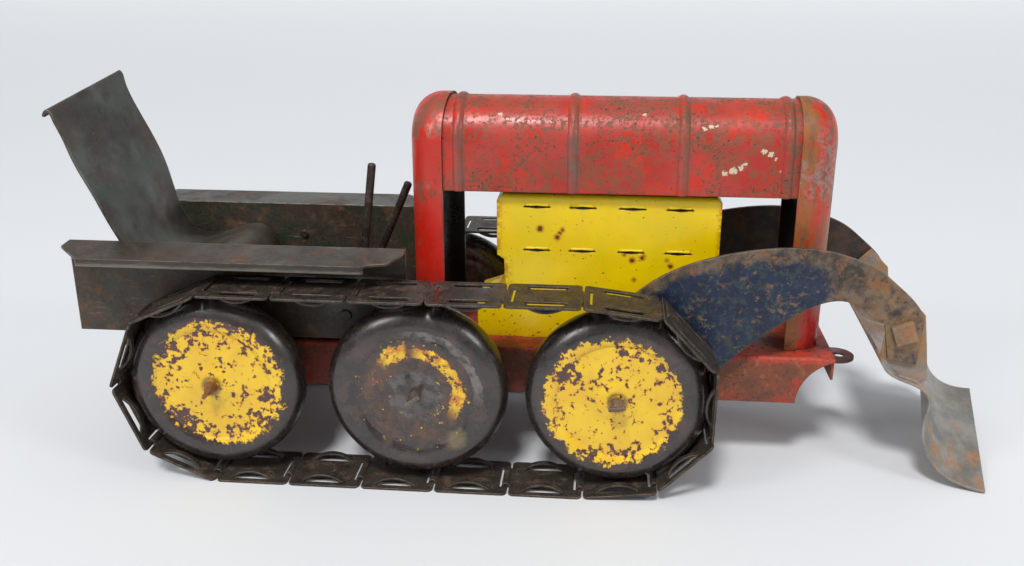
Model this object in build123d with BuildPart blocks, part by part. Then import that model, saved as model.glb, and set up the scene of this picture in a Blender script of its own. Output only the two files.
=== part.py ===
"""Pressed-steel toy crawler tractor with a front scoop, as separate pieces.

Units are millimetres, +X is forward, +Y is the tractor's left and +Z is up.
The origin is on the ground, under the middle of the whole toy.
"""

import os
from math import asin, atan2, cos, degrees, hypot, pi, radians, sin

from build123d import *

os.makedirs("parts", exist_ok=True)

# ---------------------------------------------------------------- driving sizes

sheet = 1.0                      # gauge of the body sheet
mid_x = -49.75                   # half-way between front and rear axles

wheel_radius = 37.5
wheel_half_width = 8.8
wheel_gauge = 49.5               # centre plane of a wheel, from the centre line
wheel_spacing = 83.5
middle_axle_shift = 1.6
axle_radius = 2.4
running_gap = 0.05               # radial clearance of a turning fit

link_plate = 0.9
link_width = 27.0
link_count = 19
link_path_radius = 41.3          # hooks' centres run at this distance from an axle
axle_z = link_path_radius + link_plate / 2

chassis_half_width = 27.0
chassis_top = 51.0
chassis_bottom = 30.2
chassis_rear_x = mid_x - 134.0
chassis_front_x = mid_x + 174.0

hood_radius = 18.0
hood_side_z = 117.2
hood_crest_z = 154.6
cowl_radius = 19.2
engine_half_width = 14.0

tub_half_width = 34.0
tub_rear_x = mid_x - 149.5
tub_front_x = mid_x - 4.9
tub_floor_z = 56.5
fender_z = 96.0

lever_radius = 1.8
lever_pin_radius = 1.5
lever_pin_x = mid_x - 31.5
lever_pin_z = 66.0

arm_thickness = 1.5
arm_inner_y = 31.5
scoop_pivot_x = mid_x + 198.2
scoop_pivot_z = 66.5
bolt_radius = 2.0

front_axle_x = mid_x + wheel_spacing
middle_axle_x = mid_x + middle_axle_shift
rear_axle_x = mid_x - wheel_spacing
axles = {"front": front_axle_x, "middle": middle_axle_x, "rear": rear_axle_x}
sides = {"left": 1, "right": -1}


def save(piece, name):
    """Label a finished piece and write its STEP file."""
    piece.part.label = name
    export_step(piece.part, f"parts/{name}.step")


def side_plane(y):
    """Plane facing -Y at the given y, whose local axes are world X and Z."""
    return Plane(origin=(0, y, 0), x_dir=(1, 0, 0), z_dir=(0, -1, 0))


def from_middle(points):
    """Points given from the middle of the wheelbase, moved into the frame."""
    return [(mid_x + x, z) for x, z in points]


def sheet_strip(points, thickness):
    """Closed outline of a bent sheet: the points' spline and its parallel."""
    parallel = []
    for i, (x, z) in enumerate(points):
        x_before, z_before = points[max(i - 1, 0)]
        x_after, z_after = points[min(i + 1, len(points) - 1)]
        length = hypot(x_after - x_before, z_after - z_before)
        normal_x = -(z_after - z_before) / length
        normal_z = (x_after - x_before) / length
        parallel.append((x + normal_x * thickness, z + normal_z * thickness))
    Spline(*points)
    Line(points[-1], parallel[-1])
    Spline(*reversed(parallel))
    Line(parallel[0], points[0])


# ---------------------------------------------------------------------- chassis

cutout_radius = 19.8
cutout_overhang = 4.9
front_wall_bottom = 41.0
tab_length = 6.0
tab_slot_gap = 0.3
rear_leg_x = mid_x + 2.2
front_leg_x = mid_x + 161.4
tab_places = [(x, s * (cowl_radius - sheet / 2)) for x in (rear_leg_x, front_leg_x) for s in (-1, 1)]
engine_tab_x = (mid_x + 45.0, mid_x + 105.0)
tab_places += [(x, s * (engine_half_width - sheet / 2)) for x in engine_tab_x for s in (-1, 1)]


def make_chassis():
    length = chassis_front_x - chassis_rear_x
    middle = (chassis_front_x + chassis_rear_x) / 2
    depth = chassis_top - chassis_bottom
    with BuildPart() as chassis:
        with BuildSketch(Plane.XY.offset(chassis_bottom)):
            with Locations((middle, 0)):
                Rectangle(length, 2 * chassis_half_width)
        extrude(amount=depth)
        fillet(chassis.edges().filter_by(Axis.X).group_by(Axis.Z)[-1], radius=1.5)
        with BuildSketch(Plane.XY.offset(chassis_bottom)):
            with Locations((middle, 0)):
                Rectangle(length - 2 * sheet, 2 * (chassis_half_width - sheet))
        extrude(amount=depth - sheet, mode=Mode.SUBTRACT)
        # the front corners are scooped out of the side walls up to the top plate
        corner_x = chassis_front_x + cutout_overhang
        with BuildSketch(side_plane(2 * chassis_half_width)):
            with Locations((corner_x, chassis_bottom)):
                Circle(cutout_radius)
        extrude(amount=4 * chassis_half_width, mode=Mode.SUBTRACT)
        # the front wall hangs from the top plate between those cut-outs
        with BuildSketch(Plane.YZ.offset(chassis_front_x - sheet)):
            with Locations((0, (chassis_top - 1.5 + front_wall_bottom) / 2)):
                Rectangle(2 * chassis_half_width - 3, chassis_top - 1.5 - front_wall_bottom)
        extrude(amount=sheet)
        with BuildSketch(side_plane(2 * chassis_half_width)):
            with Locations(*[(x, axle_z) for x in axles.values()]):
                Circle(axle_radius + running_gap)
        extrude(amount=4 * chassis_half_width, mode=Mode.SUBTRACT)
        with BuildSketch(Plane.XY.offset(chassis_top - 2 * sheet)):
            with Locations(*tab_places):
                Rectangle(tab_length + 2 * tab_slot_gap, sheet + 2 * tab_slot_gap)
        extrude(amount=3 * sheet, mode=Mode.SUBTRACT)
    save(chassis, "chassis")


tongue_z = 42.0
tongue_length = 14.0
tongue_half_width = 8.0
tow_hole_radius = 2.2


def make_tow_tongue():
    """Flat tab with a foot plate that is riveted behind the front wall."""
    foot_x = chassis_front_x - sheet
    with BuildPart() as tongue:
        with BuildSketch(Plane.XY.offset(tongue_z - sheet)):
            with BuildLine():
                Line((foot_x + sheet, -tongue_half_width), (foot_x + 8.0, -tongue_half_width))
                tip = (foot_x + sheet + tongue_length, 0)
                ThreePointArc((foot_x + 8.0, -tongue_half_width), tip, (foot_x + 8.0, tongue_half_width))
                Line((foot_x + 8.0, tongue_half_width), (foot_x + sheet, tongue_half_width))
                Line((foot_x + sheet, tongue_half_width), (foot_x + sheet, -tongue_half_width))
            make_face()
        extrude(amount=sheet)
        with BuildSketch(Plane.XY.offset(tongue_z - sheet)):
            with Locations((foot_x + 8.6, 0)):
                Circle(tow_hole_radius)
            with Locations((foot_x + 4.6, 0)):
                Rectangle(6.0, 1.8)
        extrude(amount=sheet, mode=Mode.SUBTRACT)
    save(tongue, "tow_tongue")


# ---------------------------------------------------------------- cowls and hood

def arch_face(plane, radius, crest, bottom):
    """Upright arch: straight sides up to a half circle."""
    spring = crest - radius
    with BuildSketch(plane) as arch:
        with Locations((0, (spring + bottom) / 2)):
            Rectangle(2 * radius, spring - bottom)
        with Locations((0, spring)):
            Circle(radius)
        with Locations((0, bottom - radius)):
            Rectangle(2 * radius, 2 * radius, mode=Mode.SUBTRACT)
    return arch.sketch


def make_cowl(name, open_x, direction, depth, corner, skew=0.0):
    """Cap-shaped cowl: an arch whose closed end is rounded into a wall.

    With skew, the left side of the open rim stands that much further forward.
    """
    wall_x = open_x + direction * depth
    depth += skew
    open_x = wall_x - direction * depth
    crest = hood_crest_z + cowl_radius - hood_radius
    facing = Plane(origin=(open_x, 0, 0), x_dir=(0, direction, 0), z_dir=(direction, 0, 0))
    last = -1 if direction > 0 else 0
    with BuildPart() as hollow:
        inner_face = arch_face(facing, cowl_radius - sheet, crest - sheet, chassis_top - sheet)
        extrude(inner_face, amount=depth - sheet)
        end = hollow.faces().filter_by(Axis.X).sort_by(Axis.X)[last]
        fillet(end.edges().filter_by(lambda edge: edge.center().Z > chassis_top + 1), radius=corner - sheet)
    with BuildPart() as cowl:
        extrude(arch_face(facing, cowl_radius, crest, chassis_top), amount=depth)
        end = cowl.faces().filter_by(Axis.X).sort_by(Axis.X)[last]
        fillet(end.edges().filter_by(lambda edge: edge.center().Z > chassis_top + 1), radius=corner)
        add(hollow.part, mode=Mode.SUBTRACT)
        tab_x = rear_leg_x if direction < 0 else front_leg_x
        with Locations(*[(tab_x, s * (cowl_radius - sheet / 2), chassis_top - 1.5) for s in (-1, 1)]):
            Box(tab_length, sheet, 3.0)
        if skew:
            rim = Plane(origin=(wall_x + depth - skew, -cowl_radius, 0), z_dir=(2 * cowl_radius, -skew, 0))
            split(bisect_by=rim, keep=Keep.BOTTOM)
    save(cowl, name)


rear_rim_x = mid_x + 8.6
rear_cowl_depth = 14.5


def make_cowls():
    make_cowl("rear_cowl", rear_rim_x, -1, rear_cowl_depth, 13.0, skew=4.0)
    make_cowl("front_cowl", mid_x + 153.8, 1, 16.0, 13.0)


hood_rear_x = mid_x + 5.4
hood_front_x = mid_x + 157.0
rib_height = 1.0
rib_half_width = 2.2
rib_root = 0.5                   # how deep a rib's section reaches into the hood sheet
rib_places = (15.1, 62.4, 107.3, 149.0)


def make_rib(x):
    """Raised bead across the hood: its low section swept over the arch and down both sides."""
    spring = hood_crest_z - hood_radius
    root = hood_radius - rib_root
    with BuildPart() as rib:
        with BuildSketch(Plane.XY.offset(spring)) as flank:
            with BuildLine():
                ThreePointArc((x - rib_half_width, hood_radius), (x, hood_radius + rib_height),
                              (x + rib_half_width, hood_radius))
                Polyline((x + rib_half_width, hood_radius), (x + rib_half_width, root),
                         (x - rib_half_width, root), (x - rib_half_width, hood_radius))
            make_face()
        revolve(axis=Axis((0, 0, spring), (1, 0, 0)), revolution_arc=180)
        extrude(flank.sketch, amount=hood_side_z - spring)
        mirror(about=Plane.XZ)
    return rib.part


def make_hood():
    hood_plane = Plane.YZ.offset(hood_rear_x)
    hood_length = hood_front_x - hood_rear_x
    ribs = [make_rib(mid_x + x) for x in rib_places]
    with BuildPart() as hood:
        extrude(arch_face(hood_plane, hood_radius, hood_crest_z, hood_side_z), amount=hood_length)
        for rib in ribs:
            add(rib)
        inner_crest = hood_crest_z - sheet
        inner_face = arch_face(hood_plane, hood_radius - sheet, inner_crest, hood_side_z - sheet)
        extrude(inner_face, amount=hood_length, mode=Mode.SUBTRACT)
    save(hood, "hood")


# ----------------------------------------------------------------------- engine

def make_engine_block():
    outline = from_middle([
        (22.2, chassis_top), (22.2, 67.0), (30.4, 69.8), (34.4, 73.4), (33.8, 86.6), (30.8, 88.6),
        (30.8, 112.6), (33.6, 115.6), (122.6, 115.6), (124.6, 113.4), (124.6, 88.0), (121.4, 86.0),
        (121.4, 73.0), (131.0, 67.0), (131.0, chassis_top)])
    louvres = [(mid_x + x, z) for x in (47.8, 67.1, 87.8, 107.5) for z in (91.0, 110.0)]
    lip_radius = 0.8
    slit_width = 11.0
    with BuildPart() as engine:
        with BuildSketch(side_plane(engine_half_width)):
            with BuildLine():
                Polyline(*outline, close=True)
            make_face()
        extrude(amount=2 * engine_half_width)
        long_edges = engine.edges().filter_by(Axis.X).group_by(Axis.Z)[-1]
        fillet(long_edges, radius=2.0)
        with BuildSketch(side_plane(engine_half_width - sheet)):
            with BuildLine():
                Polyline(*outline, close=True)
            make_face()
            offset(amount=-sheet, mode=Mode.REPLACE)
            with Locations((mid_x + 76.6, chassis_top)):
                Rectangle(106.8, 4.0)
        extrude(amount=2 * (engine_half_width - sheet), mode=Mode.SUBTRACT)
        # each louvre is a slit under a small lifted lip, on both walls
        for side in (-1, 1):
            face_y = side * (engine_half_width - sheet / 2)
            with Locations(*[(x, face_y, z + lip_radius) for x, z in louvres]):
                Cylinder(lip_radius, slit_width - 1.5, rotation=(0, 90, 0))
            with Locations(*[(x, face_y, z) for x, z in louvres]):
                Box(slit_width, 3 * sheet, 0.8, mode=Mode.SUBTRACT)
        with Locations(*[(x, s * (engine_half_width - sheet / 2), chassis_top - 1.5)
                         for x in engine_tab_x for s in (-1, 1)]):
            Box(tab_length, sheet, 3.0)
    save(engine, "engine_block")


# --------------------------------------------------------------- seat and levers

fender_width = 19.3
fender_drops = {"left": -0.4, "right": 1.5}
lip_drop = 3.4


def make_tub_panel(name, side):
    """Side wall of the seat tub, with the fender and its lip folded from its top."""
    inner = side * (tub_half_width - sheet)
    outer = side * tub_half_width
    edge = side * (tub_half_width + fender_width)
    low = fender_z - fender_drops[name.split("_")[-1]]
    length = tub_front_x - tub_rear_x
    with BuildPart() as panel:
        with BuildSketch(Plane.YZ.offset(tub_rear_x)):
            with BuildLine():
                Polyline((inner, tub_floor_z - sheet), (inner, fender_z), (edge, low),
                         (edge, low - lip_drop), (edge - side * sheet, low - lip_drop),
                         (edge - side * sheet, low - sheet), (outer, fender_z - sheet),
                         (outer, tub_floor_z - sheet), close=True)
            make_face()
        extrude(amount=length)
        # the fender's rear is chamfered to a blunt point, and its front is cut in a wave
        with BuildSketch(Plane.XY.offset(fender_z - 20)):
            with BuildLine():
                Polyline((tub_rear_x - 1, outer + side * 5.5), (tub_rear_x + 13.5, edge + side),
                         (tub_rear_x - 1, edge + side), close=True)
            make_face()
            with BuildLine():
                Polyline((tub_front_x + 1, outer + side * 4.0), (tub_front_x - 5.0, edge - side * 4.0),
                         (tub_front_x - 12.0, edge - side * 2.4), (tub_front_x - 16.0, edge + side),
                         (tub_front_x + 1, edge + side), close=True)
            make_face()
        extrude(amount=30, mode=Mode.SUBTRACT)
        # the lip runs out in a wave at its front end
        with BuildSketch(Plane(origin=(0, edge + side, 0), x_dir=(1, 0, 0), z_dir=(0, -side, 0))):
            drop = low - lip_drop
            with BuildLine():
                Spline((tub_front_x - 22.0, drop), (tub_front_x - 18.5, drop + 0.5),
                       (tub_front_x - 15.5, drop + 2.0), (tub_front_x - 12.0, drop + 2.3))
                Polyline((tub_front_x - 12.0, drop + 2.3), (tub_front_x + 1, drop + 2.3),
                         (tub_front_x + 1, drop - 1), (tub_front_x - 22.0, drop - 1), (tub_front_x - 22.0, drop))
            make_face()
        extrude(amount=4.0, mode=Mode.SUBTRACT)
        with BuildSketch(side_plane(outer + side)):
            with Locations((lever_pin_x, lever_pin_z)):
                Circle(lever_pin_radius + running_gap)
            with Locations(*rivet_places):
                Circle(rivet_radius + running_gap)
        extrude(amount=side * 3, mode=Mode.SUBTRACT)
    save(panel, name)


rivet_radius = 1.2
rivet_head = 1.8
rivet_places = [(tub_rear_x + 2.8, fender_z - 10.0), (mid_x - 67.5, 81.0)]


def make_tub_panels():
    for name, side in sides.items():
        make_tub_panel(f"tub_panel_{name}", side)


def make_tub_floor():
    """Floor sheet of the tub, with a low rear wall turned up between the panels."""
    inside = 2 * (tub_half_width - sheet) - 0.2
    rear_end = tub_rear_x + 0.5
    front_end = rear_rim_x - rear_cowl_depth - 0.4
    length = front_end - rear_end
    middle = (front_end + rear_end) / 2
    rear_wall_height = 19.0
    with BuildPart() as floor:
        with Locations((middle, 0, tub_floor_z - sheet / 2)):
            Box(length, inside, sheet)
        with Locations((middle - length / 2 + sheet / 2, 0, tub_floor_z - sheet + rear_wall_height / 2)):
            Box(sheet, inside, rear_wall_height)
        # four dimples raise the floor off the chassis top
        with Locations(*[(x, y, (tub_floor_z - sheet + chassis_top) / 2)
                         for x in (mid_x - 118.0, mid_x - 20.0) for y in (-18.0, 18.0)]):
            Cylinder(5.0, tub_floor_z - sheet - chassis_top)
    save(floor, "tub_floor")


def make_seat():
    """Seat back, pan and front roll, bent from one sheet that stands a little askew."""
    half_width = 31.6
    pan = [(-112.5, 81.2), (-98.0, 84.4), (-88.4, 86.2), (-83.6, 83.6), (-80.2, 75.5),
           (-79.0, 66.0), (-78.8, tub_floor_z + 0.05)]
    right_back = [(-154.2, 148.0), (-153.6, 149.8), (-152.2, 150.8), (-150.6, 149.9), (-149.4, 147.2),
                  (-146.9, 141.0), (-143.6, 131.0), (-136.6, 115.5), (-131.8, 104.5), (-126.6, 94.0),
                  (-121.5, 85.6)]
    left_back = [(-151.6, 155.6), (-150.9, 157.2), (-149.6, 158.2), (-148.3, 157.0), (-147.6, 154.0),
                 (-146.0, 148.0), (-140.7, 136.0), (-132.5, 116.3), (-129.3, 102.5), (-126.0, 91.0),
                 (-120.5, 83.4)]
    with BuildPart() as seat:
        for y, back in ((-half_width, right_back), (half_width, left_back)):
            with BuildSketch(side_plane(y)):
                with BuildLine():
                    sheet_strip(from_middle(back + pan), -sheet)
                make_face()
        loft(ruled=True)
    save(seat, "seat")


def make_tub_rivets():
    """Rivets of the tub: two domed heads on a short shank at each place."""
    with BuildPart() as rivets:
        for side in (-1, 1):
            inner = side * (tub_half_width - sheet)
            outer = side * tub_half_width
            for x, z in rivet_places:
                with BuildSketch(Plane(origin=(x, inner - side * 0.8, z), x_dir=(1, 0, 0), z_dir=(0, side, 0))):
                    Circle(rivet_head)
                extrude(amount=0.8)
                with BuildSketch(Plane(origin=(x, inner, z), x_dir=(1, 0, 0), z_dir=(0, side, 0))):
                    Circle(rivet_radius)
                extrude(amount=sheet)
                with BuildSketch(Plane(origin=(x, outer, z), x_dir=(1, 0, 0), z_dir=(0, side, 0))):
                    Circle(rivet_head)
                extrude(amount=0.8)
    save(rivets, "tub_rivets")


def make_lever_pin():
    with BuildPart() as pin:
        with Locations((lever_pin_x, 0, lever_pin_z)):
            Cylinder(lever_pin_radius, 2 * tub_half_width + 1.6, rotation=(90, 0, 0))
        with Locations(*[(lever_pin_x, s * (tub_half_width + 0.5), lever_pin_z) for s in (-1, 1)]):
            Cylinder(lever_pin_radius + 1.0, 0.8, rotation=(90, 0, 0))
    save(pin, "lever_pin")


lever_places = {"lever_left": (6.0, 23.5, 53.0), "lever_right": (-6.0, 7.4, 60.0)}


def make_lever(name, y, angle, lever_length):
    """Round rod whose lower end is a flattened eye on the cross pin."""
    tip = (lever_pin_x + lever_length * sin(radians(angle)), y,
           lever_pin_z + lever_length * cos(radians(angle)))
    rod = Plane(origin=(lever_pin_x, y, lever_pin_z), x_dir=(0, 1, 0),
                z_dir=(sin(radians(angle)), 0, cos(radians(angle))))
    with BuildPart() as lever:
        with BuildSketch(rod.offset(2.6)):
            Circle(lever_radius)
        extrude(amount=lever_length - 2.6)
        fillet(lever.edges().filter_by(GeomType.CIRCLE).sort_by_distance(tip)[0], radius=1.2)
        with Locations((lever_pin_x, y, lever_pin_z)):
            Cylinder(4.0, 2 * lever_radius, rotation=(90, 0, 0))
            Cylinder(lever_pin_radius + running_gap, 3 * lever_radius, rotation=(90, 0, 0),
                     mode=Mode.SUBTRACT)
    save(lever, name)


def make_levers():
    for name, (y, angle, lever_length) in lever_places.items():
        make_lever(name, y, angle, lever_length)


# --------------------------------------------------------------- axles and wheels

hub_face = 7.3                   # wheel's centre plane to the outer face of its dish
hub_boss = 0.6                   # raised ring round the hub hole
axle_half_length = wheel_gauge + hub_face + 6.8
pinch_angles = {"front": -8.0, "middle": -36.0, "rear": -58.0}


def make_axle(name, x):
    """Round axle whose ends are pinched flat to keep the wheels on."""
    blade_length = 7.0
    blade_thickness = 1.6
    blade_depth = 1.2
    neck = 2.4
    with BuildPart() as axle:
        with Locations((x, 0, axle_z)):
            Cylinder(axle_radius, 2 * (axle_half_length - blade_depth - neck), rotation=(90, 0, 0))
        for side in (-1, 1):
            neck_y = side * (axle_half_length - blade_depth - neck)
            blade_y = side * (axle_half_length - blade_depth)
            with BuildSketch(Plane(origin=(x, neck_y, axle_z), x_dir=(1, 0, 0), z_dir=(0, side, 0))) as round_end:
                Circle(axle_radius)
            with BuildSketch(Plane(origin=(x, blade_y, axle_z), x_dir=(1, 0, 0), z_dir=(0, side, 0))) as blade:
                RectangleRounded(blade_length, blade_thickness, 0.6, rotation=side * pinch_angles[name])
            loft([round_end.sketch.face(), blade.sketch.face()])
            extrude(blade.sketch.face(), amount=blade_depth)
    save(axle, f"axle_{name}")


def make_axles():
    for name, x in axles.items():
        make_axle(name, x)


def make_axle_spacers():
    """Tube between the frame and each wheel; the front pair sits outside the arms."""
    with BuildPart() as spacers:
        for name, x in axles.items():
            start = arm_inner_y + arm_thickness + 0.4 if name == "front" else chassis_half_width + 0.1
            end = wheel_gauge - hub_face - hub_boss - 0.3
            for side in (-1, 1):
                with Locations((x, side * (start + end) / 2, axle_z)):
                    Cylinder(4.0, end - start, rotation=(90, 0, 0))
                    Cylinder(axle_radius + running_gap, end - start, rotation=(90, 0, 0),
                             mode=Mode.SUBTRACT)
    save(spacers, "axle_spacers")


shell = 0.8
rim_radius = wheel_half_width - 0.1
rim_centre = wheel_radius - rim_radius
seam = 0.1                       # half the gap between a wheel's two shells


def wheel_outline(collar):
    """Closed half section of one pressed shell, x as radius and y from the seam."""
    dish_angle = degrees(asin((hub_face - seam) / rim_radius))
    inner_radius = rim_radius - shell
    inner_angle = degrees(asin((hub_face - seam - shell) / inner_radius))
    hole = axle_radius + running_gap
    outer_end = (rim_centre - rim_radius * cos(radians(dish_angle)), hub_face)
    inner_end = (rim_centre - inner_radius * cos(radians(inner_angle)), hub_face - shell)
    CenterArc((rim_centre, seam), rim_radius, 0, 180 - dish_angle)
    Line(outer_end, (hole + 6.5, hub_face))
    Spline((hole + 6.5, hub_face), (hole + 4.5, hub_face + 0.75 * hub_boss), (hole + 2.0, hub_face + hub_boss))
    Line((hole + 2.0, hub_face + hub_boss), (hole, hub_face + hub_boss))
    Line((hole, hub_face + hub_boss), (hole, hub_face - shell - collar))
    if collar:
        Line((hole, hub_face - shell - collar), (hole + 1.6, hub_face - shell - collar))
        Line((hole + 1.6, hub_face - shell - collar), (hole + 1.6, hub_face - shell))
        Line((hole + 1.6, hub_face - shell), inner_end)
    else:
        Line((hole, hub_face - shell), inner_end)
    CenterArc((rim_centre, seam), inner_radius, 0, 180 - inner_angle)
    Line((rim_centre + inner_radius, seam), (rim_centre + rim_radius, seam))


def make_wheel_shell(name, x, y, facing, collar):
    section_plane = Plane(origin=(x, y, axle_z), x_dir=(1, 0, 0), z_dir=(0, 0, facing))
    with BuildPart() as wheel_shell:
        with BuildSketch(section_plane):
            with BuildLine():
                wheel_outline(collar)
            make_face()
        revolve(axis=Axis((x, y, axle_z), (0, 1, 0)))
    save(wheel_shell, name)


def make_wheels():
    for axle_name, x in axles.items():
        for side_name, side in sides.items():
            y = side * wheel_gauge
            wheel = f"wheel_{axle_name}_{side_name}"
            make_wheel_shell(f"{wheel}_outer", x, y, side, 0.0)
            make_wheel_shell(f"{wheel}_inner", x, y, -side, 2 * (hub_face - shell) - 0.2)


# ----------------------------------------------------------------------- tracks

bar_half = 0.7                   # half length of the edge bar that a hook holds
hook_inner = 0.95
hook_outer = 1.75
hook_half_width = 6.9
track_start = 8.0               # first hook, from the middle of the wheelbase


def next_hook(point, pitch):
    """The next point on the oval path, one pitch on in a straight line, forwards."""
    def on_path(travel):
        straight = 2 * wheel_spacing
        arc = pi * link_path_radius
        travel = travel % (2 * straight + 2 * arc)
        if travel < straight:
            return travel - wheel_spacing, link_path_radius
        if travel < straight + arc:
            angle = pi / 2 - (travel - straight) / link_path_radius
            return wheel_spacing + link_path_radius * cos(angle), link_path_radius * sin(angle)
        if travel < 2 * straight + arc:
            return wheel_spacing - (travel - straight - arc), -link_path_radius
        angle = -pi / 2 - (travel - 2 * straight - arc) / link_path_radius
        return -wheel_spacing + link_path_radius * cos(angle), link_path_radius * sin(angle)

    low, high = point, point + 1.3 * pitch
    here = on_path(point)
    for _ in range(50):
        middle = (low + high) / 2
        there = on_path(middle)
        if hypot(there[0] - here[0], there[1] - here[1]) < pitch:
            low = middle
        else:
            high = middle
    return low, on_path(low)


def track_hooks():
    """Pitch and hook centres of a closed chain of link_count equal links."""
    perimeter = 4 * wheel_spacing + 2 * pi * link_path_radius
    start = wheel_spacing + track_start
    low, high = perimeter / link_count * 0.8, perimeter / link_count
    for _ in range(50):
        pitch = (low + high) / 2
        travel = start
        hooks = []
        for _ in range(link_count):
            travel, place = next_hook(travel, pitch)
            hooks.append(place)
        if travel < start + perimeter:
            low = pitch
        else:
            high = pitch
    return pitch, hooks


link_pitch, hook_places = track_hooks()
arch_span = 17.0
arch_height = 3.0
arch_width = 2.6
arch_offset = 9.0


def make_link():
    """One link: x runs from the edge bar at 0 to the hook at one pitch, +Z outwards."""
    body_end = link_pitch - 1.5
    centre = link_pitch / 2
    with BuildPart() as link:
        with BuildSketch(Plane.XY.offset(-link_plate / 2)) as plate:
            with Locations(((body_end - bar_half) / 2, 0)):
                Rectangle(body_end + bar_half, link_width)
            fillet(plate.vertices(), radius=2.2)
            with Locations(((bar_half + 2.7) / 2, 0)):
                Rectangle(2.7 - bar_half, 2 * hook_half_width + 1.4, mode=Mode.SUBTRACT)
            with Locations((centre, arch_offset), (centre, -arch_offset)):
                Rectangle(arch_span - 0.4, arch_width + 1.0, mode=Mode.SUBTRACT)
        extrude(amount=link_plate)
        for side in (-1, 1):
            with BuildSketch(side_plane(side * arch_offset + arch_width / 2)):
                with BuildLine():
                    half = arch_span / 2
                    top = link_plate / 2
                    ThreePointArc((centre - half, top), (centre, top - arch_height), (centre + half, top))
                    Line((centre + half, top), (centre + half, -top))
                    ThreePointArc((centre + half, -top), (centre, -top - arch_height), (centre - half, -top))
                    Line((centre - half, -top), (centre - half, top))
                make_face()
            extrude(amount=arch_width)
        with BuildSketch(side_plane(hook_half_width)):
            with Locations((link_pitch, 0)):
                Circle(hook_outer)
                Circle(hook_inner, mode=Mode.SUBTRACT)
            with Locations((link_pitch, link_plate / 2 + hook_outer)):
                Rectangle(3 * hook_outer, 2 * hook_outer, mode=Mode.SUBTRACT)
        extrude(amount=2 * hook_half_width)
    return link.part


def run_name(middle, slope):
    """Which stretch of the track a link belongs to, from its middle and slope."""
    if slope < 12:
        return "top_run" if middle[1] > 0 else "bottom_run"
    return "front_wrap" if middle[0] > 0 else "rear_wrap"


def make_tracks():
    link = make_link()
    runs = {"top_run": [], "front_wrap": [], "bottom_run": [], "rear_wrap": []}
    for i in range(link_count):
        x1, z1 = hook_places[i - 1]
        x2, z2 = hook_places[i]
        turn = degrees(atan2(z2 - z1, x2 - x1))
        slope = min(abs(turn), abs(180 - abs(turn)))
        middle = ((x1 + x2) / 2, (z1 + z2) / 2)
        runs[run_name(middle, slope)].append((x1, z1, turn))
    for side_name, side in sides.items():
        for run, places in runs.items():
            with BuildPart() as group:
                for x, z, turn in places:
                    add(Location((mid_x + x, side * wheel_gauge, axle_z + z), (0, -turn, 0)) * link)
                if run != "top_run":
                    # hooks that dip under the ground are worn flat
                    with Locations((mid_x, side * wheel_gauge, -1.0)):
                        Box(4 * wheel_spacing, 2 * link_width, 2.0, mode=Mode.SUBTRACT)
            save(group, f"track_{side_name}_{run}")


# --------------------------------------------------------------- arms and scoop

def make_arm(name, side):
    """Crescent lift arm on the front axle, with a tab for the scoop bolt."""
    near_y = side * arm_inner_y
    top_edge = from_middle([
        (72.4, 41.5), (77.5, 62.0), (91.5, 81.0), (114.3, 93.9), (133.0, 98.7), (149.7, 100.7),
        (164.2, 100.0), (176.0, 96.9), (186.1, 92.4), (194.5, 85.7), (202.5, 77.9), (205.7, 71.1)])
    under_edge = from_middle([
        (183.4, 73.4), (178.6, 77.4), (172.6, 79.1), (164.4, 77.6), (151.6, 70.2), (136.8, 58.3),
        (125.3, 47.0), (110.0, 35.5), (92.0, 31.0), (78.5, 32.4), (72.4, 41.5)])
    tab = from_middle([(205.7, 71.1), (204.6, 52.6), (193.2, 54.4), (190.4, 69.6), (183.4, 73.4)])
    with BuildPart() as arm:
        with BuildSketch(side_plane(near_y)):
            with BuildLine():
                Spline(*top_edge)
                Polyline(*tab)
                Spline(*under_edge)
            make_face()
            with Locations((front_axle_x, axle_z)):
                Circle(axle_radius + running_gap, mode=Mode.SUBTRACT)
            with Locations((scoop_pivot_x, scoop_pivot_z)):
                Circle(bolt_radius + running_gap, mode=Mode.SUBTRACT)
        extrude(amount=-side * arm_thickness)
    save(arm, name)


def make_arms():
    for name, side in sides.items():
        make_arm(f"arm_{name}", side)


scoop_half_width = 37.0
ear_outer_y = 31.1
flare_angle = 13.3               # the right end of the scoop turns outwards by this
flare_x = mid_x + 209.9


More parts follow.
